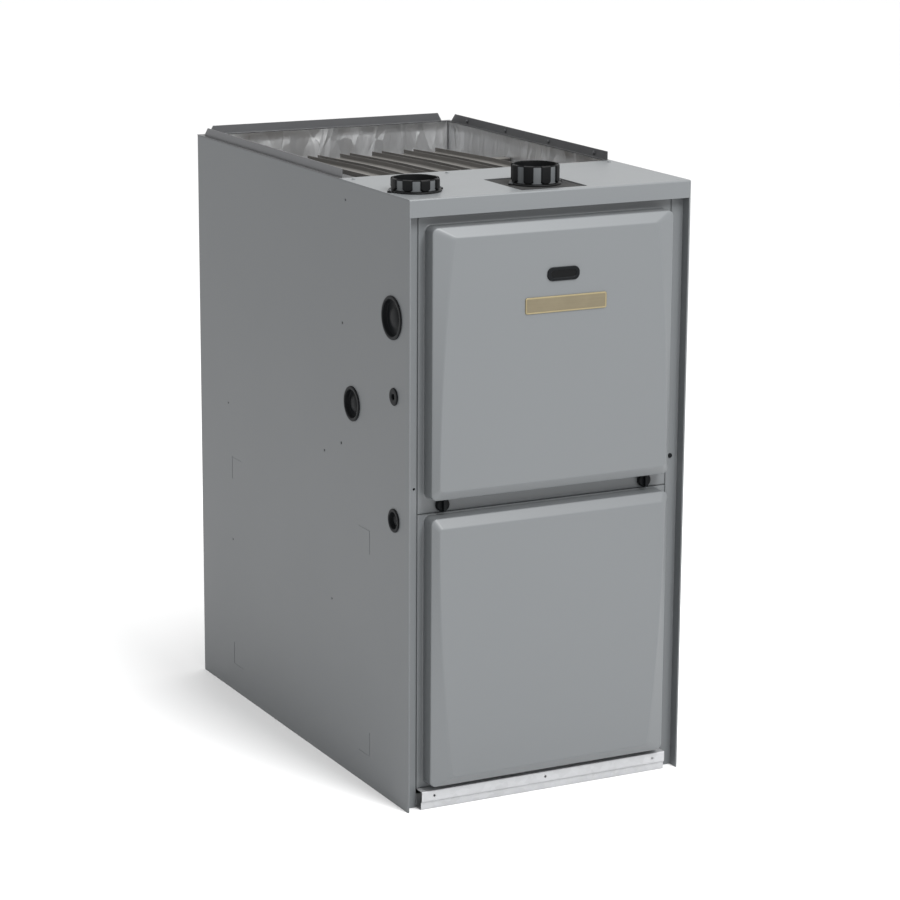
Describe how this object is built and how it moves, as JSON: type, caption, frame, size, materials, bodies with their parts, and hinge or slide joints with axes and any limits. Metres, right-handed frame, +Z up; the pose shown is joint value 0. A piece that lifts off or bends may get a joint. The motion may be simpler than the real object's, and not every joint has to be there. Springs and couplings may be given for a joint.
{
  "type": "forced air gas furnace",
  "caption": "Upright sheet-steel warm-air furnace with lift-off front doors, burners and heat exchanger over a fan, and a flanged supply opening in the top.",
  "frame": {"origin": "centre of the cabinet footprint, on the floor", "axes": "+Z up, the doors face -Y, +X to the right seen from the front"},
  "size_m": [0.4463, 0.7683, 0.903],
  "materials": {
    "body_paint": "satin powder coat",
    "door_paint": "satin powder coat",
    "galvanised_steel": "satin spangle",
    "dark_steel": "dull, dark",
    "motor_steel": "satin black",
    "black_plastic": "fine matte",
    "foil_lining": "foil-faced insulation",
    "aluminised_steel": "heat-dulled",
    "coil_aluminium": "satin",
    "cast_aluminium": "as cast",
    "white_pipe": "satin",
    "circuit_board": "matte",
    "ceramic": "matte ceramic",
    "rubber": "matte",
    "red_plastic": "gloss"
  },
  "bodies": {
    "cabinet": {"cabinet_wrapper": "body_paint", "top_cap": "body_paint", "cross_rail": "body_paint", "base_pan": "galvanised_steel", "base_rail": "galvanised_steel", "blower_deck": "galvanised_steel", "vestibule_panel": "galvanised_steel", "burner_box": "galvanised_steel", "burner_box_cover": "galvanised_steel", "blower_housing": "galvanised_steel", "motor_mount": "galvanised_steel", "control_tray": "galvanised_steel", "supply_collar": "dark_steel", "gas_manifold": "dark_steel", "transformer": "dark_steel", "inducer_motor": "motor_steel", "blower_motor": "motor_steel", "exhaust_coupling": "black_plastic", "intake_coupling": "black_plastic", "vent_gasket_plate": "black_plastic", "side_plug_upper": "black_plastic", "side_plug_middle": "black_plastic", "side_plug_lower": "black_plastic", "rollout_switch": "black_plastic", "collector_box": "black_plastic", "inducer_housing": "black_plastic", "condensate_trap": "black_plastic", "door_switch": "black_plastic", "foil_liner_left": "foil_lining", "foil_liner_right": "foil_lining", "foil_liner_back": "foil_lining", "exchanger_cell_1": "aluminised_steel", "exchanger_cell_2": "aluminised_steel", "exchanger_cell_3": "aluminised_steel", "exchanger_cell_4": "aluminised_steel", "rear_header": "aluminised_steel", "burner_1": "aluminised_steel", "burner_2": "aluminised_steel", "burner_3": "aluminised_steel", "burner_4": "aluminised_steel", "secondary_coil": "coil_aluminium", "gas_valve": "cast_aluminium", "flue_pipe": "white_pipe", "intake_pipe": "white_pipe", "control_board": "circuit_board", "igniter": "ceramic", "flame_sensor": "ceramic", "pressure_switch": "ceramic", "pressure_hose": "rubber", "side_grommet": "rubber"},
    "upper_door": {"upper_door": "door_paint", "sight_window": "black_plastic"},
    "lower_door": {"lower_door": "door_paint"},
    "left_knob": {"latch_knob_left": "black_plastic"},
    "right_knob": {"latch_knob_right": "black_plastic"},
    "blower_wheel": {"blower_wheel": "galvanised_steel"},
    "inducer_wheel": {"inducer_wheel": "coil_aluminium"},
    "gas_valve_knob": {"gas_valve_knob": "black_plastic"},
    "door_switch_plunger": {"door_switch_plunger": "ceramic"},
    "rollout_reset_button": {"rollout_reset_button": "red_plastic"}
  },
  "joints": [
    {"name": "upper_door_lift_off", "type": "slide", "parent": "cabinet", "child": "upper_door", "axis": [0, -1, 0], "range_m": [0, 0.3]},
    {"name": "lower_door_lift_off", "type": "slide", "parent": "cabinet", "child": "lower_door", "axis": [0, -1, 0], "range_m": [0, 0.3]},
    {"name": "left_latch_turn", "type": "hinge", "parent": "upper_door", "child": "left_knob", "pos_m": [-0.163, -0.36, 0.4423], "axis": [0, -1, 0], "range_deg": [0, 90]},
    {"name": "right_latch_turn", "type": "hinge", "parent": "upper_door", "child": "right_knob", "pos_m": [0.163, -0.36, 0.4423], "axis": [0, -1, 0], "range_deg": [0, 90]},
    {"name": "blower_spin", "type": "hinge", "parent": "cabinet", "child": "blower_wheel", "pos_m": [0, 0.042, 0.205], "axis": [1, 0, 0], "continuous": true},
    {"name": "inducer_spin", "type": "hinge", "parent": "cabinet", "child": "inducer_wheel", "pos_m": [-0.078, -0.2294, 0.6], "axis": [0, -1, 0], "continuous": true},
    {"name": "gas_valve_turn", "type": "hinge", "parent": "cabinet", "child": "gas_valve_knob", "pos_m": [0.169, -0.35, 0.782], "axis": [0, -1, 0], "range_deg": [0, 90]},
    {"name": "door_switch_press", "type": "slide", "parent": "cabinet", "child": "door_switch_plunger", "axis": [0, 1, 0], "range_m": [0, 0.004], "stiffness_N_per_m": 200, "springref_m": -0.002},
    {"name": "rollout_reset_press", "type": "slide", "parent": "cabinet", "child": "rollout_reset_button", "axis": [0, 1, 0], "range_m": [0, 0.0015], "stiffness_N_per_m": 400, "springref_m": -0.001}
  ]
}
